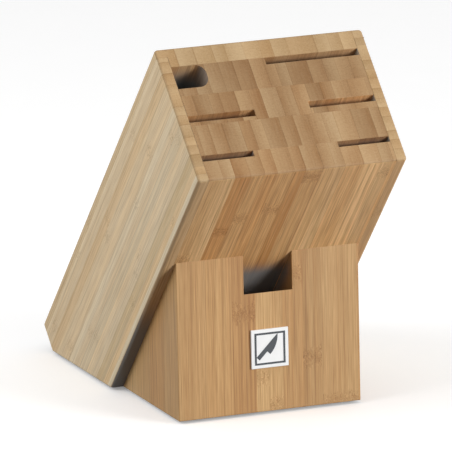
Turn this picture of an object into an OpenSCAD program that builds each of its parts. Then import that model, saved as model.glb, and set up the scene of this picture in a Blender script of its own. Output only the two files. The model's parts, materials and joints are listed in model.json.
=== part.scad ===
// Slanted bamboo knife block, empty, standing on a wedge-shaped base.
// Frame: millimetres, +Z up, front of the block towards -Y, +X to the right seen from the front.
// The origin is on the table, under the centre of the bounding box.
//
// The slanted block is drawn upright in a frame of its own: x across, q from its back face to its
// front face, and z along the boards from the square-cut heel to the slotted top. in_block() leans
// that frame back over the base.

/* [Slanted block] */
// Width across both cheeks
block_w = 120; // [112:1:140]
// Thickness from back face to front face
block_d = 86; // [84:1:100]
// Length along the boards, from the heel to the slotted top
block_l = 266; // [230:1:300]
// Angle of the boards above the table, in degrees
tilt = 46; // [42:1:54]
// Width of the square-cut heel left at the rear bottom edge
heel = 19; // [12:1:24]
// Rounding of the four long edges
edge_r = 2; // [1:0.5:3]

/* [Boards] */
// Thickness of each side cheek
cheek_t = 6.2; // [5:0.2:8]
// Thickness of the back board
back_t = 12.2; // [10:0.2:14]
// Thickness left on the back board's edges, outside the rabbets that take the cheeks
back_lip = 5.6; // [4:0.2:8]
// Thickness of each of the three inner core boards; the front one takes what is left
core_t = 19.3; // [18:0.1:19.6]

/* [Openings] */
// Width of the chef's knife slot
long_slot_w = 54; // [46:1:58]
// Thickness of the chef's knife slot
long_slot_t = 4.4; // [3:0.2:5]
// Width of the two middle slots
mid_slot_w = 38; // [30:1:44]
// Thickness of the two middle slots
mid_slot_t = 4; // [3:0.2:5]
// Thickness of the strip that closes the left middle slot in front
left_strip_t = 2.5; // [2:0.5:5]
// Thickness of the strip that closes the right middle slot in front
right_strip_t = 4; // [2:0.5:6]
// Width of the two front slots
small_slot_w = 29.5; // [24:0.5:34]
// Thickness of the two front slots
small_slot_t = 3.4; // [2.6:0.2:4.2]
// Width of the sharpening steel's hole, from the left cheek
steel_w = 18.6; // [16:0.2:22]
// Thickness of the sharpening steel's hole, from the back board
steel_d = 14.4; // [12:0.2:16]
// Corner radius on the inner side of the steel's hole
steel_r = 6; // [2:0.5:6]

/* [Base] */
// Height of the base's front face, up to where it meets the slanted block
base_h = 88; // [70:1:96]
// How far each side of the base is set in from the block's side
base_inset = 7; // [4:1:12]
// Width of the shears channel
channel_w = 28; // [22:1:30]
// Depth of the shears channel, square to the slanted block
channel_d = 14.8; // [12:0.2:18]

/* [Dowels] */
// Diameter of the dowels between block and base
dowel_d = 8; // [6:1:9]
// Depth of each dowel in the slanted block
dowel_in_block = 9; // [7:1:10]
// Depth of each dowel in the base
dowel_in_base = 15; // [12:1:18]
// Distance of the dowels from the middle
dowel_x = 33; // [24:1:36]

/* [Badge] */
// Side of the square badge
badge_w = 21.6; // [18:0.2:24]
// Thickness of the badge
badge_t = 1.2; // [1:0.1:2]
// Height of the badge's centre above the underside of the base
badge_z = 35.4; // [30:0.2:45]
// Gap from the badge's edge to its dark border
border_gap = 1.9; // [1.4:0.1:2.4]
// Width of the dark border's line
border_line = 1.1; // [0.6:0.1:1.2]
// How far the border and emblem stand out from the badge
enamel_t = 0.2; // [0.2:0.1:0.4]

/* [Feet] */
// Radius of each foot pad
foot_r = 5; // [4:0.5:6]
// Thickness of each foot pad
foot_t = 1.6; // [1:0.2:2.4]
// Distance of the feet from the sides
foot_side = 14; // [12:1:18]
// Distance of the feet from the front and rear edges of the underside
foot_end = 18; // [17:1:20]

/* [Hidden] */
$fn = 64;

// How far a cut runs past the wood, so that no skin is left
cut = 1;

// The four core boards, from the back of the block to its front
CORE = ["rear_core_board", "second_core_board", "third_core_board", "front_core_board"];
// The boards of the base, from its front to its back
BASE = ["base_front_board", "base_second_board", "base_third_board", "base_rear_board"];
FEET = ["foot_front_left", "foot_front_right", "foot_rear_left", "foot_rear_right"];

core_half = block_w / 2 - cheek_t;
base_w = block_w - 2 * base_inset;

// Places along the side view, measured from the table edge of the heel: the top rear edge of the
// heel, the ends of the underside, and the front of the slotted top
heel_y = heel * sin(tilt);
heel_z = heel * cos(tilt);
top_front_y = heel_y - block_l * cos(tilt) - block_d * sin(tilt);
underside = (block_d - heel) / sin(tilt);
base_depth = base_h / tan(tilt);
base_front = -underside - base_depth;
base_board_t = base_depth / len(BASE);

// Moves the table edge of the heel so that the whole object is centred on y = 0
rear_y = -(heel_y + top_front_y) / 2;

// Length along the boards at which the underside reaches the front face of the block
front_start = (block_d - heel) / tan(tilt);
front_run = base_h / sin(tilt);

bamboo_light = [0.82, 0.71, 0.53];
bamboo_mid = [0.76, 0.60, 0.42];
bamboo_dark = [0.72, 0.53, 0.34];
enamel_white = [0.93, 0.93, 0.92];
enamel_dark = [0.16, 0.19, 0.22];
pad_grey = [0.25, 0.25, 0.26];

function core_back(i) = back_t + i * core_t;
function core_front(i) = i == 3 ? block_d : core_back(i + 1);
function strip_t(side) = side < 0 ? left_strip_t : right_strip_t;

// ---------------------------------------------------------------- frames and shared shapes

// Leans the upright frame of the slanted block back into its place
module in_block() {
    translate([0, rear_y + heel_y, foot_t + heel_z]) rotate([90 - tilt, 0, 0]) children();
}

// Everything above the plane that the wood's underside lies in
module above_underside() {
    span = 2 * block_l;
    translate([-span / 2, -span / 2, foot_t]) cube([span, span, span]);
}

// A rectangle in the block's cross-section, from side to side and from back to front
module section(x0, x1, q0, q1) {
    translate([x0, -q1]) square([x1 - x0, q1 - q0]);
}

// The outline of the whole block's cross-section, with its long edges rounded
module block_outline() {
    inner_x = block_w / 2 - edge_r;
    section(-block_w / 2, block_w / 2, edge_r, block_d - edge_r);
    section(-inner_x, inner_x, 0, block_d);
    for (x = [-inner_x, inner_x], q = [edge_r, block_d - edge_r]) translate([x, -q]) circle(r = edge_r);
}

// A board of the slanted block: its cross-section run along the block and cut level underneath
module slanted_board() {
    intersection() {
        in_block() linear_extrude(height = block_l) intersection() {
            block_outline();
            children();
        }
        above_underside();
    }
}

// One slot, cut into the core from the right cheek, or from the left one when side is -1
module slot(side, width, back, thickness) {
    mirror([side < 0 ? 1 : 0, 0]) section(core_half - width, core_half + cut, back, back + thickness);
}

// The hole for the sharpening steel, with round inner corners
module steel_hole() {
    inner = -core_half + steel_w;
    back = core_back(0);
    section(-core_half - cut, inner - steel_r, back - cut, back + steel_d);
    section(-core_half - cut, inner, back + steel_r, back + steel_d - steel_r);
    for (q = [back + steel_r, back + steel_d - steel_r]) translate([inner - steel_r, -q]) circle(r = steel_r);
}

// The second board is rabbeted at its front corners for the middle slots and the strips that close them
module all_slots() {
    slot(1, long_slot_w, core_back(0) - cut, long_slot_t + cut);
    for (side = [-1, 1]) {
        mid_depth = mid_slot_t + strip_t(side);
        slot(side, mid_slot_w, core_front(1) - mid_depth, mid_depth);
        slot(side, small_slot_w, core_back(3), small_slot_t);
    }
    steel_hole();
}

// Dowels square to the slanted joint, two rows of two
module dowel_pins() {
    for (x = [-dowel_x, dowel_x], along = [0.3, 0.62])
        in_block()
            translate([x, -(block_d - dowel_in_block), front_start + along * front_run])
                rotate([90, 0, 0]) cylinder(d = dowel_d, h = dowel_in_block + dowel_in_base);
}

// ---------------------------------------------------------------- slanted block

module back_board() {
    color(bamboo_light) slanted_board() {
        section(-block_w / 2, block_w / 2, 0, back_lip);
        section(-core_half, core_half, 0, back_t);
    }
}

module cheek(side) {
    color(bamboo_light) slanted_board()
        mirror([side < 0 ? 1 : 0, 0]) section(core_half, block_w / 2, back_lip, block_d);
}

module core_board(i) {
    color(bamboo_mid) difference() {
        slanted_board() difference() {
            section(-core_half, core_half, core_back(i), core_front(i));
            all_slots();
        }
        dowel_pins();
    }
}

// The strip that closes a middle slot in front, from the cheek to the slot's inner end
module slot_strip(side) {
    color(bamboo_mid) slanted_board()
        mirror([side < 0 ? 1 : 0, 0])
            section(core_half - mid_slot_w, core_half, core_front(1) - strip_t(side), core_front(1));
}

// ---------------------------------------------------------------- base

// The wedge that carries the slanted block
module base_wedge() {
    translate([0, rear_y, foot_t]) rotate([90, 0, 90]) linear_extrude(height = base_w, center = true)
        polygon([[base_front, 0], [-underside, 0], [base_front, base_h]]);
}

// Shears channel, along the slanted joint from the front face down to the underside
module shears_channel() {
    in_block() linear_extrude(height = block_l)
        section(-channel_w / 2, channel_w / 2, block_d - cut, block_d + channel_d);
}

module base_board(i) {
    color(bamboo_dark) difference() {
        intersection() {
            base_wedge();
            translate([-base_w / 2, rear_y + base_front + i * base_board_t, foot_t])
                cube([base_w, base_board_t, base_h]);
        }
        shears_channel();
        dowel_pins();
    }
}

module joint_dowels() {
    color(bamboo_light) dowel_pins();
}

// ---------------------------------------------------------------- badge

// Stands a flat shape up on the front of the base, raised from it by `out`
module on_front(out, thickness) {
    translate([0, rear_y + base_front - out, foot_t + badge_z])
        rotate([90, 0, 0]) linear_extrude(height = thickness) children();
}

module badge_plate() {
    color(enamel_white) on_front(0, badge_t) square(badge_w, center = true);
}

module badge_border() {
    outer = badge_w - 2 * border_gap;
    color(enamel_dark) on_front(badge_t, enamel_t) difference() {
        square(outer, center = true);
        square(outer - 2 * border_line, center = true);
    }
}

// A plain kitchen knife, blade upwards, drawn on the badge's diagonal
module badge_emblem() {
    blade_l = 11;
    blade_w = 4.8;
    handle_l = 6.5;
    handle_w = 2.4;
    // Radius of the curved edge, level at the handle and meeting the straight back at the tip
    belly_r = (blade_l * blade_l + blade_w * blade_w) / (2 * blade_w);
    color(enamel_dark) on_front(badge_t, enamel_t) rotate(45) translate([(handle_l - blade_l) / 2, 0]) {
        intersection() {
            translate([0, -blade_w / 2]) square([blade_l, blade_w]);
            translate([0, belly_r - blade_w / 2]) circle(r = belly_r, $fn = 180);
        }
        translate([-handle_l, blade_w / 2 - handle_w]) square([handle_l, handle_w]);
    }
}

// ---------------------------------------------------------------- feet

// Round pads under the base's front corners and under the heel
module foot(i) {
    front = i < 2;
    side = i % 2 == 0 ? -1 : 1;
    x = side * (block_w / 2 - foot_side);
    y = rear_y + (front ? base_front + foot_end : -foot_end);
    color(pad_grey) translate([x, y, 0]) cylinder(r = foot_r, h = foot_t);
}

back_board();
cheek(-1);  // left_cheek
cheek(1);  // right_cheek
for (i = [0 : 3]) core_board(i);
slot_strip(-1);  // left_slot_strip
slot_strip(1);  // right_slot_strip
for (i = [0 : 3]) base_board(i);
joint_dowels();
badge_plate();
badge_border();
badge_emblem();
for (i = [0 : 3]) foot(i);
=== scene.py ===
"""Looks of the slanted bamboo knife block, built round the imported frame."""

import json
import math

import bmesh
import bpy
from mathutils import Matrix, Vector
from mathutils.bvhtree import BVHTree


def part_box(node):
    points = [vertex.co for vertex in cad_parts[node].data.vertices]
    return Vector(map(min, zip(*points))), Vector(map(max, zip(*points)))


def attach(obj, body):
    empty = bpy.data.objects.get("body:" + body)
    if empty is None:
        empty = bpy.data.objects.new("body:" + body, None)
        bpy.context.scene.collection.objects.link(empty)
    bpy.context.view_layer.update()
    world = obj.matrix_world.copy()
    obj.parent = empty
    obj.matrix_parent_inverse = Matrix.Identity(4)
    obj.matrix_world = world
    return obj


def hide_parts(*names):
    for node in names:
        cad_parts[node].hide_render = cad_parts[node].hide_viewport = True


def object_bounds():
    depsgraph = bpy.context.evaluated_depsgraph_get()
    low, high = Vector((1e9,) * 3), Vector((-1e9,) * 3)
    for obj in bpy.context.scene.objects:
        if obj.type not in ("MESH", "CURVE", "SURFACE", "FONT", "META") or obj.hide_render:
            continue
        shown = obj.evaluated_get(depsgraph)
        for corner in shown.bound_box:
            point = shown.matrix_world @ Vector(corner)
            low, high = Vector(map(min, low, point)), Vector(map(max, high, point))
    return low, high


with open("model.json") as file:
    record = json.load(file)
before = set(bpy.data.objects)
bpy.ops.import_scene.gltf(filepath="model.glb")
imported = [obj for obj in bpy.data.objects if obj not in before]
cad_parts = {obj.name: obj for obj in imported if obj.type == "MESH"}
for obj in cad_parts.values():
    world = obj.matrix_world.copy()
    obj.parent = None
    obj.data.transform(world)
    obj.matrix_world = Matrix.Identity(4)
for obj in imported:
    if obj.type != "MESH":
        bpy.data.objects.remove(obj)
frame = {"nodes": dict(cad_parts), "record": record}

CAD_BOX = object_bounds()
MM = 0.001
ROOT = "root"

# ---------------------------------------------------------------- frames of the block and the base

# The slots run along the boards, so a slot's axis gives the block's tilt from level
along = next(Vector(m["axis"]) for m in frame["record"]["mounts"] if m["name"] == "long_slot")
TILT = math.atan2(along.z, -along.y)


def extent(node, matrix):
    """Lowest and highest corner of a CAD node, in the frame that matrix stands for."""
    to_local = matrix.inverted()
    points = [to_local @ v.co for v in frame["nodes"][node].data.vertices]
    low = Vector(min(p[i] for p in points) for i in range(3))
    high = Vector(max(p[i] for p in points) for i in range(3))
    return low, high


# Block frame: x across, y from the front face to the back face at y = 0, z up the boards from the heel
LEAN = Matrix.Rotation(math.pi / 2 - TILT, 4, "X")
back_low, back_high = extent("back_board", LEAN)
BLOCK = LEAN @ Matrix.Translation((0, back_high.y, back_low.z))

# Base frame: x across, y from the front face backwards, z up from the underside
base_low, base_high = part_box("base_front_board")
BASE = Matrix.Translation((0, base_low.y, base_low.z))

# In metres, in the block's frame: its front face, its top and its outer side
cheek_low, cheek_high = extent("left_cheek", BLOCK)
BLOCK_FRONT = cheek_low.y
BLOCK_TOP = cheek_high.z
BLOCK_SIDE = -cheek_low.x

# In mm: the base's height, where its top meets the block's front, and the half widths of the shears'
# channel and of the base
BASE_TOP = (base_high.z - base_low.z) / MM
CHANNEL_TOP = (base_high.z - BLOCK[2][3] - BLOCK[2][1] * BLOCK_FRONT) / BLOCK[2][2] / MM
CHANNEL_SIDE = min(abs(v.co.x) for v in frame["nodes"]["base_front_board"].data.vertices) / MM
BASE_SIDE = base_high.x / MM

CORE_BOARDS = ["rear_core_board", "second_core_board", "third_core_board", "front_core_board"]
SLOT_STRIPS = ["left_slot_strip", "right_slot_strip"]
CHEEKS = ["left_cheek", "right_cheek"]
BASE_BOARDS = ["base_front_board", "base_second_board", "base_third_board", "base_rear_board"]
FEET = ["foot_front_left", "foot_front_right", "foot_rear_left", "foot_rear_right"]


# ---------------------------------------------------------------- node graphs

def rgb(r, g, b):
    return (r, g, b, 1.0)


class Graph:
    """A material's node tree, with short calls for the nodes that the materials below share."""

    def __init__(self, name):
        self.material = bpy.data.materials.new(name)
        self.material.use_nodes = True
        self.tree = self.material.node_tree
        self.tree.nodes.clear()
        self.shader = self.node("ShaderNodeBsdfPrincipled")
        output = self.node("ShaderNodeOutputMaterial")
        self.tree.links.new(self.shader.outputs["BSDF"], output.inputs["Surface"])

    def node(self, kind, **settings):
        made = self.tree.nodes.new(kind)
        for key, value in settings.items():
            setattr(made, key, value)
        return made

    def feed(self, socket, value):
        if isinstance(value, bpy.types.NodeSocket):
            self.tree.links.new(value, socket)
        else:
            socket.default_value = value

    def math(self, operation, a, b=0.0, c=0.0):
        made = self.node("ShaderNodeMath", operation=operation)
        for socket, value in zip(made.inputs, (a, b, c)):
            self.feed(socket, value)
        return made.outputs[0]

    def add(self, a, b):
        return self.math("ADD", a, b)

    def times(self, a, b):
        return self.math("MULTIPLY", a, b)

    def flip(self, value):
        """1 where a value is 0, and 0 where it is 1."""
        return self.math("SUBTRACT", 1.0, value)

    def from_half(self, value):
        """A value between 0 and 1, centred on 0."""
        return self.math("SUBTRACT", value, 0.5)

    def step(self, value, low, high):
        """0 below low, 1 above high, smooth between."""
        made = self.node("ShaderNodeMapRange", interpolation_type="SMOOTHSTEP")
        self.feed(made.inputs["Value"], value)
        made.inputs["From Min"].default_value = low
        made.inputs["From Max"].default_value = high
        return made.outputs["Result"]

    def vector(self, x, y, z):
        made = self.node("ShaderNodeCombineXYZ")
        for socket, value in zip(made.inputs, (x, y, z)):
            self.feed(socket, value)
        return made.outputs[0]

    def mix(self, factor, a, b, blend="MIX"):
        made = self.node("ShaderNodeMix", data_type="RGBA", blend_type=blend)
        self.feed(made.inputs["Factor"], factor)
        self.feed(made.inputs["A"], a)
        self.feed(made.inputs["B"], b)
        return made.outputs["Result"]

    def tinted(self, colour, gain):
        """A colour multiplied by a gain in red, green and blue."""
        return self.mix(1.0, colour, rgb(*gain), "MULTIPLY")

    def noise(self, vector, scale, detail=2.0, roughness=0.5):
        made = self.node("ShaderNodeTexNoise")
        self.feed(made.inputs["Vector"], vector)
        made.inputs["Scale"].default_value = scale
        made.inputs["Detail"].default_value = detail
        made.inputs["Roughness"].default_value = roughness
        return made.outputs["Fac"]

    def dice(self, index, seed):
        """Three random numbers that stay the same for one index."""
        made = self.node("ShaderNodeTexWhiteNoise", noise_dimensions="1D")
        self.feed(made.inputs["W"], self.add(index, seed))
        split = self.node("ShaderNodeSeparateColor")
        self.tree.links.new(made.outputs["Color"], split.inputs["Color"])
        return split.outputs[0], split.outputs[1], split.outputs[2]

    def board_space(self, matrix):
        """The point's x, y and z in mm in a board's own frame, and how squarely it faces x and z."""
        inverse = matrix.inverted()
        place = self.node("ShaderNodeTexCoord")
        point = self.node("ShaderNodeMapping", vector_type="POINT")
        self.feed(point.inputs["Vector"], place.outputs["Object"])
        point.inputs["Location"].default_value = inverse.translation / MM
        point.inputs["Rotation"].default_value = inverse.to_euler()
        point.inputs["Scale"].default_value = (1 / MM, 1 / MM, 1 / MM)
        way = self.node("ShaderNodeMapping", vector_type="POINT")
        self.feed(way.inputs["Vector"], place.outputs["Normal"])
        way.inputs["Rotation"].default_value = inverse.to_euler()
        axes = self.node("ShaderNodeSeparateXYZ")
        self.feed(axes.inputs[0], point.outputs[0])
        facing = self.node("ShaderNodeSeparateXYZ")
        self.feed(facing.inputs[0], way.outputs[0])
        return *axes.outputs, facing.outputs[0], facing.outputs[2]

    def bump(self, height, strength, distance):
        made = self.node("ShaderNodeBump")
        made.inputs["Strength"].default_value = strength
        made.inputs["Distance"].default_value = distance
        self.feed(made.inputs["Height"], height)
        self.tree.links.new(made.outputs["Normal"], self.shader.inputs["Normal"])


# ---------------------------------------------------------------- bamboo

# The lengths in this section are in mm, in the frame of the block or of the base

# How far apart a cane's knuckles lie along a strip, how far they reach, how far their line wanders, and
# how far they push the fibres aside
KNUCKLE_APART = 190.0
KNUCKLE_REACH = 7.0
KNUCKLE_WANDER = 9.0
KNUCKLE_SWIRL = 13.0

# Width of the dark line along the glue between two strips
SEAM_WIDTH = 0.45

# Share of the strips whose dense side is the one with the higher coordinates
TURNED = 0.72

# Where the painted shade starts to darken the wood, up or down from a level, over what length, and how
# strongly
SLOT_FADE = (9.0, 29.0, 1.0)
CHANNEL_FADE = (-1.0, 20.0, 0.97)
RECESS_FADE = (-20.0, 50.0, 0.92)
BASE_WALL_FADE = (6.0, 22.0, 0.85)

# Painted shade on the slots' ends, right up to their mouths
SLOT_END_SHADE = 0.85

# Only the two narrow slots lie in front of this place. Their walls get the darkest painted shade, and it
# starts sooner.
FRONT_SLOTS = -60.0
NARROW_SHADE = 0.33
NARROW_SOONER = 3.0

# A point deeper than this inside the block's outer faces is on an opening's wall
WALL_INSET = 3.0

# A point within this of a front face is on that face
FRONT_SKIN = 1.0

# How far outside the shears' channel its walls' eased edges reach, and over what width the channel's
# darkening ends on the block
CHANNEL_EASE = 0.6
CHANNEL_BLUR = 0.5

# Colours of the painted shade where it is darkest: in the openings, and in the recess by the base
DARK_INSIDE = (0.145, 0.18, 0.195)
DARK_RECESS = (0.085, 0.115, 0.13)

# How the painted shade dulls the colour before it darkens it, and what the reddest strips do
SHADE_TINT = (0.85, 0.72, 0.57)
WARM_TINT = (1.08, 0.93, 0.76)

# How strongly red, green and blue follow the fibres' light and dark: dark fibres are redder
LEVEL_POWERS = (0.9, 1.15, 1.5)


def fading(g, height, level, fade):
    """0 high up, and the fade's strength from its length below where it starts."""
    start, length, strength = fade
    top = level + start
    return g.times(g.flip(g.step(height, top - length, top)), strength)


def painted_shade_base(g, x, y, z, long_side):
    """A mask of painted shade on the base: the walls of the shears' channel, darker further down."""
    near_middle = g.math("LESS_THAN", g.math("ABSOLUTE", x), CHANNEL_SIDE + CHANNEL_EASE)
    behind_front = g.math("GREATER_THAN", y, FRONT_SKIN)
    walls = g.times(g.times(near_middle, behind_front), long_side)
    return g.times(walls, fading(g, z, BASE_TOP, BASE_WALL_FADE))


def painted_shade_block(g, x, y, z, face_x, long_side):
    """Masks of painted shade on the block: deep in every opening, the recess by the base, the narrow
    slots.
    """
    from_middle = g.math("ABSOLUTE", x)
    half_depth = -BLOCK_FRONT / MM / 2
    in_x = g.math("LESS_THAN", from_middle, BLOCK_SIDE / MM - WALL_INSET)
    in_y = g.math("COMPARE", y, -half_depth, half_depth - WALL_INSET)
    openings = g.times(g.times(in_x, in_y), long_side)
    narrow = g.times(openings, g.math("LESS_THAN", y, FRONT_SLOTS))
    # Painted shade: the wood darkens the deeper a point lies down a slot
    slot_shade = fading(g, g.add(z, g.times(narrow, -NARROW_SOONER)), BLOCK_TOP / MM, SLOT_FADE)
    # Painted shade on the slots' ends, which face across the block
    end_shade = g.times(g.step(g.math("ABSOLUTE", face_x), 0.1, 0.8), SLOT_END_SHADE)
    slots = g.times(openings, g.math("MAXIMUM", slot_shade, end_shade))

    on_front = g.math("LESS_THAN", y, BLOCK_FRONT / MM + FRONT_SKIN)
    in_channel = g.flip(g.step(from_middle, CHANNEL_SIDE - CHANNEL_BLUR, CHANNEL_SIDE))
    # Painted shade down the shears' channel and in the recess beside the base
    channel = g.times(g.times(in_channel, on_front), fading(g, z, CHANNEL_TOP, CHANNEL_FADE))
    in_recess = g.math("GREATER_THAN", from_middle, BASE_SIDE)
    recess = g.times(g.times(in_recess, on_front), fading(g, z, CHANNEL_TOP, RECESS_FADE))
    return g.add(slots, channel), recess, narrow


def strips(g, run, strip_mm, seed):
    """Strips of uneven width along run.

    Gives each strip's random tone, knuckle height, hue and greyness, how near a point lies to its
    dense and darker side, and the dark seams between strips.
    """
    lane = g.times(g.add(run, seed * 7.3), 1 / strip_mm)
    wander = g.noise(g.vector(g.times(lane, 0.43), seed, 0.0), scale=1.0, detail=0.0)
    lane = g.add(lane, g.times(wander, 1.6))
    index = g.math("FLOOR", lane)
    inside = g.math("FRACT", lane)
    tone, way, knot = g.dice(index, seed)
    hue, grey, lift = g.dice(index, seed + 37.0)
    dense = g.math("ABSOLUTE", g.math("SUBTRACT", inside, g.math("GREATER_THAN", way, TURNED)))
    rim = g.times(g.math("MINIMUM", inside, g.flip(inside)), strip_mm)
    seam = g.times(g.flip(g.step(rim, 0.0, SEAM_WIDTH)), g.add(g.times(lift, 0.8), 0.2))
    return tone, knot, hue, grey, dense, seam


def knuckles(g, x, y, z, knot, long_side, strength):
    """Knuckles, where the cane had its joints, at a random height in each strip.

    Gives where they are, how far they push the fibres aside, and how the fibres curl there.
    """
    jitter = g.noise(g.vector(x, y, z), scale=0.25, roughness=0.55)
    nudge = g.times(jitter, KNUCKLE_WANDER / KNUCKLE_APART)
    height = g.add(g.times(z, 1 / KNUCKLE_APART), g.add(knot, nudge))
    away = g.times(g.math("ABSOLUTE", g.from_half(g.math("FRACT", height))), KNUCKLE_APART)
    knuckle = g.times(g.times(g.flip(g.step(away, 0.5, KNUCKLE_REACH)), long_side), strength)
    swirl = g.noise(g.vector(x, y, g.times(z, 0.6)), scale=0.4, roughness=0.55)
    shift = g.times(knuckle, g.times(g.from_half(swirl), KNUCKLE_SWIRL))
    swirled = g.vector(g.add(x, shift), g.add(y, shift), g.times(z, 0.35))
    curls = g.noise(swirled, scale=1.3, roughness=0.6)
    return knuckle, shift, g.times(knuckle, g.math("SUBTRACT", curls, 0.54))


def fibres(g, x, y, z):
    """Wide bands, streaks, dark pores, fine lines and short dashes, all drawn out along the grain."""
    bands = g.noise(g.vector(x, y, g.times(z, 0.006)), scale=0.42)
    streaks = g.noise(g.vector(x, y, g.times(z, 0.008)), scale=0.95, roughness=0.6)
    pores = g.step(g.noise(g.vector(x, y, g.times(z, 0.012)), scale=0.85, detail=1.0), 0.56, 0.66)
    fine = g.noise(g.vector(x, y, g.times(z, 0.015)), scale=2.4, roughness=0.6)
    dashes = g.noise(g.vector(x, y, g.times(z, 0.06)), scale=1.2, roughness=0.55)
    return g.from_half(bands), g.from_half(streaks), pores, fine, g.from_half(dashes)


def fibre_ends(g, x, y, run, other, dense):
    """Cut ends: dark dots, closer together on the dense side, rows, layers and a mottled pith."""
    dots = g.node("ShaderNodeTexVoronoi", feature="F1")
    g.feed(dots.inputs["Vector"], g.vector(x, y, 0.0))
    dots.inputs["Scale"].default_value = 1.7
    reach = g.math("SUBTRACT", dots.outputs["Distance"], g.add(0.14, g.times(dense, 0.26)))
    dot = g.flip(g.step(reach, -0.1, 0.12))
    rows = g.noise(g.vector(g.times(run, 0.22), other, 0.0), scale=1.3, roughness=0.55)
    layers = g.noise(g.vector(run, g.times(other, 0.07), 0.0), scale=0.9, roughness=0.6)
    pith = g.noise(g.vector(x, y, 0.0), scale=1.0, detail=3.0, roughness=0.7)
    return dot, g.from_half(rows), g.from_half(layers), g.from_half(pith)


def bamboo(name, matrix, across, strip_mm, colours, side_colours, end_gain, seed, knots, figure):
    """Edge-glued bamboo: strips laid side by side, the grain along z of the frame in matrix.

    across is the axis that the strips lie along, "x" or "y". colours are the strips' two extreme
    colours, side_colours the same on the faces towards x, and end_gain multiplies them on the cut
    ends. knots is the strength of the knuckles, and figure that of the fibres.
    """
    g = Graph(name)
    x, y, z, face_x, face_z = g.board_space(matrix)
    end = g.step(g.math("ABSOLUTE", face_z), 0.1, 0.6)
    long_side = g.flip(end)
    side_face = g.step(g.math("ABSOLUTE", face_x), 0.85, 0.97)
    run, other = (x, y) if across == "x" else (y, x)

    tone, knot, hue, grey, dense, seam = strips(g, run, strip_mm, seed)
    knuckle, shift, curl = knuckles(g, x, y, z, knot, long_side, knots)
    bands, streaks, pores, fine, dashes = fibres(g, g.add(x, shift), g.add(y, shift), z)
    dot, rows, layers, pith = fibre_ends(g, x, y, run, other, dense)
    cloud = g.from_half(g.noise(g.vector(x, y, g.times(z, 0.3)), scale=0.04))
    if matrix == BASE:
        inner, recess, narrow = painted_shade_base(g, x, y, z, long_side), 0.0, 0.0
    else:
        inner, recess, narrow = painted_shade_block(g, x, y, z, face_x, long_side)

    # The mix of the two wood colours: one tone for each strip, varied by its fibres
    blend = g.times(tone, g.add(0.5, g.times(long_side, 0.3)))
    blend = g.add(blend, g.times(dense, g.add(0.1, g.times(end, 0.36))))
    blend = g.add(blend, g.times(g.times(bands, long_side), 0.8))
    blend = g.add(blend, g.times(g.times(streaks, long_side), 0.9))
    blend = g.add(blend, g.add(g.times(cloud, 0.6), g.times(g.times(layers, end), 0.8)))
    blend = g.add(blend, g.times(knuckle, 0.08))
    wood = g.mix(blend, *(rgb(*c) for c in colours))
    # side_wood carries a painted sheen on the cheeks' and back board's faces towards x, and painted light
    # on the base's
    side_wood = g.mix(blend, *(rgb(*c) for c in side_colours))
    wood = g.mix(side_face, wood, side_wood)
    warmth = g.times(hue, g.add(0.45, g.times(long_side, 0.25)))
    wood = g.mix(warmth, wood, g.tinted(wood, WARM_TINT))
    wood = g.mix(end, wood, g.tinted(wood, end_gain))

    # Light and dark along the fibres
    lines = g.add(g.times(streaks, 1.25), g.add(g.times(g.from_half(fine), 1.1), g.times(dashes, 0.45)))
    lines = g.add(lines, g.times(g.times(bands, side_face), 0.8))
    along = g.add(1.04, g.times(lines, figure))
    along = g.times(along, g.flip(g.times(pores, 0.2 * figure)))
    along = g.times(along, g.flip(g.times(knuckle, 0.08)))

    # Light and dark on the cut ends
    cut = g.math("SUBTRACT", 1.03, g.times(dot, 0.13))
    cut = g.add(cut, g.add(g.times(rows, 0.26), g.times(layers, 0.18)))
    cut = g.add(cut, g.times(pith, 0.42))

    # Both together, with the seams, the curls, the tone of each strip and the painted shade on the narrow
    # slots' walls
    value = g.add(g.times(along, long_side), g.times(cut, end))
    value = g.times(value, g.flip(g.times(seam, g.add(0.13, g.times(end, 0.14)))))
    value = g.times(value, g.add(1.0, g.times(curl, 1.5)))
    value = g.times(value, g.add(0.93, g.times(grey, 0.14)))
    # Painted shade on the narrow slots' walls
    value = g.times(value, g.flip(g.times(narrow, NARROW_SHADE)))
    level = g.node("ShaderNodeCombineColor")
    for socket, power in zip(level.inputs, LEVEL_POWERS):
        g.feed(socket, g.math("POWER", value, power))
    colour = g.mix(1.0, wood, level.outputs[0], "MULTIPLY")

    # Painted shade in the openings, the shears' channel and the recess by the base: duller first, then
    # dark
    colour = g.mix(g.add(inner, recess), colour, g.tinted(colour, SHADE_TINT))
    colour = g.mix(g.times(g.math("POWER", inner, 1.9), 0.9), colour, rgb(*DARK_INSIDE))
    colour = g.mix(g.times(g.math("POWER", recess, 1.4), 0.88), colour, rgb(*DARK_RECESS))
    g.feed(g.shader.inputs["Base Color"], colour)

    # Satin oil finish, duller on the cut ends and in the pores
    g.feed(g.shader.inputs["Roughness"], g.add(0.46, g.add(g.times(end, 0.14), g.times(fine, 0.14))))
    g.shader.inputs["Specular IOR Level"].default_value = 0.42
    relief = g.add(g.times(g.times(fine, long_side), 0.6), g.times(g.times(dot, end), -0.8))
    relief = g.add(relief, g.add(g.times(seam, -0.7), g.times(curl, 0.8)))
    g.bump(relief, strength=0.35, distance=0.12 * MM)
    return g.material


# The two extreme colours of each kind of board's strips, and of its faces towards x. The cheeks' and back
# board's paler faces towards x carry a painted sheen over the wood's colour.
CORE = ((0.69, 0.44, 0.212), (0.435, 0.212, 0.070))
CHEEK = ((0.53, 0.345, 0.178), (0.40, 0.235, 0.10))
CHEEK_SIDE_AND_SHEEN = ((0.75, 0.635, 0.45), (0.60, 0.43, 0.22))
BACK_SIDE_AND_SHEEN = ((0.69, 0.55, 0.345), (0.57, 0.39, 0.19))
FOOTING = ((0.46, 0.298, 0.134), (0.35, 0.184, 0.064))
# Painted light: the base's faces towards x are made lighter than its other faces
FOOTING_SIDE_LIGHT = 1.14

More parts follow.
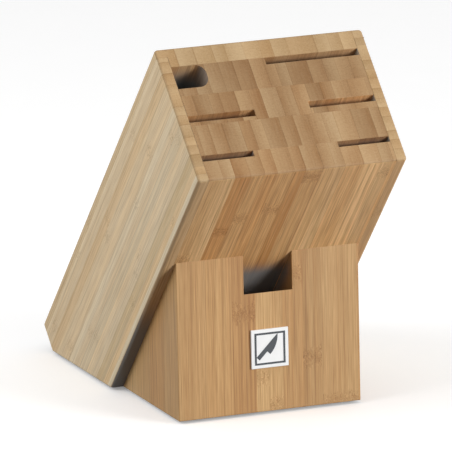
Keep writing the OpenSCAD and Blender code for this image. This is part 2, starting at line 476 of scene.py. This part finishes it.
# What the cut ends make of them
CORE_ENDS = (0.54, 0.56, 0.59)
CHEEK_ENDS = (0.80, 0.86, 0.90)
FOOTING_ENDS = (1.0, 1.0, 1.0)

# Shade and seed of the core boards, from the rear to the front
CORE_SHADE = (0.86, 0.92, 0.96, 1.0)
CORE_SEEDS = (551.0, 245.0, 750.0, 238.0)

# Seeds of the other boards, and how far the next board's seed lies from the first's
BACK_SEED = 3.0
CHEEK_SEED = 610.0
CHEEK_SEED_STEP = 4
FOOTING_SEED = 826.0
FOOTING_SEED_STEP = 6

# Width of the strips in mm
BACK_STRIP = 9.5
CHEEK_STRIP = 6.6
CORE_STRIP = 8.2
FOOTING_STRIP = 10.5


def shaded(colours, share):
    return tuple(tuple(share * c for c in colour) for colour in colours)


BAMBOO = {}
BAMBOO["back_board"] = bamboo(
    "bamboo_back", BLOCK, "x", BACK_STRIP, CHEEK, BACK_SIDE_AND_SHEEN, CHEEK_ENDS, BACK_SEED,
    knots=0.4, figure=0.7
)
for i, node in enumerate(CHEEKS):
    seed = CHEEK_SEED + CHEEK_SEED_STEP * i
    BAMBOO[node] = bamboo(
        f"bamboo_{node}", BLOCK, "y", CHEEK_STRIP, CHEEK, CHEEK_SIDE_AND_SHEEN, CHEEK_ENDS, seed,
        knots=0.4, figure=0.65
    )
for i, node in enumerate(CORE_BOARDS):
    tones = shaded(CORE, CORE_SHADE[i])
    BAMBOO[node] = bamboo(
        f"bamboo_{node}", BLOCK, "x", CORE_STRIP, tones, tones, CORE_ENDS, CORE_SEEDS[i],
        knots=1.0, figure=1.0
    )
for node in SLOT_STRIPS:
    BAMBOO[node] = BAMBOO["second_core_board"]
for i, node in enumerate(BASE_BOARDS):
    # Painted light on the base's faces towards x
    side = shaded(FOOTING, FOOTING_SIDE_LIGHT)
    seed = FOOTING_SEED + FOOTING_SEED_STEP * i
    BAMBOO[node] = bamboo(
        f"bamboo_{node}", BASE, "x", FOOTING_STRIP, FOOTING, side, FOOTING_ENDS, seed,
        knots=0.8, figure=0.85
    )


def enamel(name, colour, roughness):
    """Glossy enamel with a faint orange-peel surface."""
    g = Graph(name)
    place = g.node("ShaderNodeTexCoord")
    mottle = g.noise(place.outputs["Object"], scale=260.0)
    darker = tuple(c * 0.93 for c in colour)
    g.feed(g.shader.inputs["Base Color"], g.mix(mottle, rgb(*colour), rgb(*darker)))
    g.feed(g.shader.inputs["Roughness"], g.add(roughness, g.times(mottle, 0.08)))
    g.shader.inputs["Coat Weight"].default_value = 0.4
    g.shader.inputs["Coat Roughness"].default_value = 0.12
    g.bump(mottle, strength=0.08, distance=0.05 * MM)
    return g.material


def rubber(name):
    """Matt dark foot pads with a fine pebbled skin."""
    g = Graph(name)
    place = g.node("ShaderNodeTexCoord")
    pebble = g.noise(place.outputs["Object"], scale=1400.0, detail=3.0, roughness=0.6)
    g.feed(g.shader.inputs["Base Color"], g.mix(pebble, rgb(0.035, 0.035, 0.036), rgb(0.07, 0.07, 0.07)))
    g.feed(g.shader.inputs["Roughness"], g.add(0.7, g.times(pebble, 0.2)))
    g.bump(pebble, strength=0.3, distance=0.1 * MM)
    return g.material


def turned_wood(name):
    """Plain dowel wood, hidden in the joint."""
    g = Graph(name)
    place = g.node("ShaderNodeTexCoord")
    grain = g.noise(place.outputs["Object"], scale=420.0, detail=4.0, roughness=0.6)
    g.feed(g.shader.inputs["Base Color"], g.mix(grain, rgb(0.62, 0.46, 0.28), rgb(0.48, 0.33, 0.18)))
    g.feed(g.shader.inputs["Roughness"], g.add(0.55, g.times(grain, 0.2)))
    g.bump(grain, strength=0.2, distance=0.1 * MM)
    return g.material


WHITE = enamel("badge_white", colour=(0.82, 0.82, 0.82), roughness=0.28)
DARK = enamel("badge_dark", colour=(0.020, 0.026, 0.034), roughness=0.32)
RUBBER = rubber("foot_rubber")
DOWEL = turned_wood("dowel_wood")


# ---------------------------------------------------------------- pieces

# Edges that turn by less than this are smooth, and faces that turn by less than this are one face
SHARP = math.radians(30)
FLAT = math.radians(0.4)

# Corners nearer than this are one corner
WELD = 0.002 * MM

# The bevel's full width, which an edge's weight takes a share of
WIDEST = 2.0 * MM

# How far from an edge a face is felt for a glued neighbour, and how near that neighbour is then
PROBE = 0.5 * MM
TOUCH = 0.03 * MM


def neighbours_of(node):
    """A search tree over every other CAD solid, to tell a glued face from an open one."""
    points, triangles = [], []
    for name, other in frame["nodes"].items():
        if name == node or name == "joint_dowels":
            continue
        start = len(points)
        points += [v.co.copy() for v in other.data.vertices]
        triangles += [[start + i for i in p.vertices] for p in other.data.polygons]
    return BVHTree.FromPolygons(points, triangles)


def is_open(loop, tree):
    """Whether a face is bare wood beside one of its edges, and not glued to a neighbour."""
    edge_way = (loop.link_loop_next.vert.co - loop.vert.co).normalized()
    inward = loop.face.normal.cross(edge_way)
    middle = (loop.vert.co + loop.link_loop_next.vert.co) / 2
    found = tree.find_nearest(middle + inward * PROBE)
    return found[3] is None or found[3] > TOUCH


def clean_solid(node):
    """A CAD node's solid as a bmesh of whole flat faces."""
    bm = bmesh.new()
    bm.from_mesh(frame["nodes"][node].data)
    bmesh.ops.remove_doubles(bm, verts=bm.verts, dist=WELD)
    bmesh.ops.dissolve_limit(
        bm, angle_limit=FLAT, verts=bm.verts, edges=bm.edges, use_dissolve_boundaries=False
    )
    bm.normal_update()
    return bm


def make_piece(node, matrix, material, radius_at, segments=3):
    """Rebuilds a CAD node with eased edges, in a frame whose z runs along its grain.

    radius_at(middle, open_faces) gives the rounding of an edge in metres, from its middle point in
    that frame and from how many of its two faces are bare.
    """
    bm = clean_solid(node)
    tree = neighbours_of(node)
    to_local = matrix.inverted()
    weights = bm.edges.layers.float.new("bevel_weight_edge")
    for edge in bm.edges:
        if len(edge.link_loops) != 2 or edge.calc_face_angle(0) < SHARP or not edge.is_convex:
            edge.smooth = len(edge.link_loops) == 2 and edge.calc_face_angle(0) < SHARP
            continue
        open_faces = sum(is_open(loop, tree) for loop in edge.link_loops)
        middle = to_local @ ((edge.verts[0].co + edge.verts[1].co) / 2)
        radius = radius_at(middle, open_faces)
        edge[weights] = radius / WIDEST
        edge.smooth = radius > 0
    for face in bm.faces:
        face.smooth = True
    mesh = bpy.data.meshes.new(node + "_eased")
    bm.to_mesh(mesh)
    bm.free()
    piece = bpy.data.objects.new(node + "_eased", mesh)
    bpy.context.scene.collection.objects.link(piece)
    mesh.materials.append(material)
    ease = piece.modifiers.new("ease", "BEVEL")
    ease.limit_method = "WEIGHT"
    ease.width = WIDEST
    ease.segments = segments
    ease.use_clamp_overlap = True
    level = piece.modifiers.new("level", "WEIGHTED_NORMAL")
    level.keep_sharp = True
    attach(piece, ROOT)
    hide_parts(node)


# How far each kind of edge is rounded
TOP_ROUND = 1.5 * MM
MOUTH_EASE = 0.45 * MM
UNDER_EASE = 0.7 * MM
JOINT_EASE = 0.09 * MM
BASE_EASE = 0.45 * MM
PLATE_EASE = 0.3 * MM
PRINT_EASE = 0.06 * MM
FOOT_EASE = 0.4 * MM

# An edge this near the block's top is part of it, and one this near its outer faces is on them
NEAR_TOP = 0.2 * MM
NEAR_SIDE = 2.2 * MM


def block_radius(middle, open_faces):
    """Edges of the slanted block: rounded round the top, eased at the slots and underneath."""
    if open_faces == 0:
        return 0.0
    if open_faces == 1:
        return JOINT_EASE
    on_outside = (
        abs(middle.x) > BLOCK_SIDE - NEAR_SIDE
        or middle.y < BLOCK_FRONT + NEAR_SIDE
        or middle.y > -NEAR_SIDE
    )
    if middle.z > BLOCK_TOP - NEAR_TOP:
        return TOP_ROUND if on_outside else MOUTH_EASE
    return UNDER_EASE if on_outside else MOUTH_EASE


def base_radius(middle, open_faces):
    """Edges of the base: all of them nearly sharp."""
    if open_faces == 0:
        return 0.0
    if open_faces == 1:
        return JOINT_EASE
    return BASE_EASE


def small_radius(radius):
    """The same rounding for every bare edge of a small piece."""
    return lambda middle, open_faces: radius if open_faces else 0.0


for node in ["back_board", *CHEEKS, *CORE_BOARDS, *SLOT_STRIPS]:
    make_piece(node, BLOCK, BAMBOO[node], block_radius)
for node in BASE_BOARDS:
    make_piece(node, BASE, BAMBOO[node], base_radius)
make_piece("badge_plate", BASE, WHITE, small_radius(PLATE_EASE))
for node in ["badge_border", "badge_emblem"]:
    make_piece(node, BASE, DARK, small_radius(PRINT_EASE), segments=2)
for node in FEET:
    make_piece(node, Matrix.Identity(4), RUBBER, small_radius(FOOT_EASE))

# The dowels lie hidden in the joint, so their CAD solids are shown as they are
dowels = frame["nodes"]["joint_dowels"]
dowels.data.materials.clear()
dowels.data.materials.append(DOWEL)


# ---------------------------------------------------------------- floor, light and camera

# How high above level the sky reaches its full brightness, as a share of straight up
HORIZON = 0.15


def make_floor(half):
    """A pale matt floor that glows a little and throws no light back up on to the block."""
    g = Graph("floor_paper")
    place = g.node("ShaderNodeTexCoord")
    mottle = g.noise(place.outputs["Object"], scale=40.0, detail=3.0)
    g.feed(g.shader.inputs["Base Color"], g.mix(mottle, rgb(0.90, 0.90, 0.90), rgb(0.88, 0.88, 0.88)))
    g.shader.inputs["Roughness"].default_value = 0.9
    g.shader.inputs["Specular IOR Level"].default_value = 0.1
    g.shader.inputs["Emission Color"].default_value = rgb(1.0, 1.0, 1.0)
    g.shader.inputs["Emission Strength"].default_value = 0.22
    mesh = bpy.data.meshes.new("floor")
    corners = [(-half, -half, 0), (half, -half, 0), (half, half, 0), (-half, half, 0)]
    mesh.from_pydata(corners, [], [(0, 1, 2, 3)])
    mesh.materials.append(g.material)
    floor = bpy.data.objects.new("floor", mesh)
    bpy.context.scene.collection.objects.link(floor)
    floor.location.z = CAD_BOX[0].z
    floor.visible_diffuse = False


def make_world(above, below):
    """A pale sky over the horizon and a dim one under it."""
    world = bpy.data.worlds.new("studio")
    world.use_nodes = True
    tree = world.node_tree
    place = tree.nodes.new("ShaderNodeTexCoord")
    axes = tree.nodes.new("ShaderNodeSeparateXYZ")
    fade = tree.nodes.new("ShaderNodeMapRange")
    fade.inputs["From Min"].default_value = 0.0
    fade.inputs["From Max"].default_value = HORIZON
    fade.inputs["To Min"].default_value = below
    fade.inputs["To Max"].default_value = above
    tree.links.new(place.outputs["Generated"], axes.inputs[0])
    tree.links.new(axes.outputs[2], fade.inputs["Value"])
    background = tree.nodes["Background"]
    background.inputs["Color"].default_value = rgb(1.0, 1.0, 1.0)
    tree.links.new(fade.outputs["Result"], background.inputs["Strength"])
    bpy.context.scene.world = world


def make_softbox(name, place, aim, size, power):
    """A square light at a place, turned towards an aim, that the camera doesn't see."""
    data = bpy.data.lights.new(name, "AREA")
    data.shape = "SQUARE"
    data.size = size
    data.energy = power
    light = bpy.data.objects.new(name, data)
    bpy.context.scene.collection.objects.link(light)
    light.location = place
    light.visible_camera = False
    light.rotation_mode = "QUATERNION"
    light.rotation_quaternion = (Vector(aim) - Vector(place)).to_track_quat("-Z", "Y")


def make_camera(azimuth, elevation, roll, distance, target, lens):
    """A camera at an azimuth from the front, an elevation and a roll in degrees."""
    a, e, r = (math.radians(v) for v in (azimuth, elevation, roll))
    back = Vector((math.sin(a) * math.cos(e), -math.cos(a) * math.cos(e), math.sin(e)))
    data = bpy.data.cameras.new("camera")
    data.lens = lens
    data.sensor_width = 36.0
    data.clip_start = 0.1
    data.clip_end = 60.0
    camera = bpy.data.objects.new("camera", data)
    bpy.context.scene.collection.objects.link(camera)
    upright = (-back).to_track_quat("-Z", "Y").to_matrix().to_4x4()
    place = Matrix.Translation(Vector(target) + back * distance)
    camera.matrix_world = place @ upright @ Matrix.Rotation(r, 4, "Z")
    bpy.context.scene.camera = camera


make_floor(half=6.0)
make_world(above=0.66, below=0.01)
make_softbox("key", place=(1.7, -2.4, 0.75), aim=(0, 0, 0.1), size=1.3, power=42.0)
make_softbox("card", place=(1.1, -1.5, 0.12), aim=(0, 0, 0.15), size=0.7, power=26.0)
make_softbox("fill", place=(-1.3, -0.15, 0.95), aim=(0, 0, 0.1), size=1.0, power=11.2)
make_camera(
    azimuth=-21.33, elevation=13.18, roll=-1.24, distance=4.182, target=(0.0, -0.0082, 0.0919), lens=609.7
)
bpy.context.scene.view_settings.view_transform = "Standard"
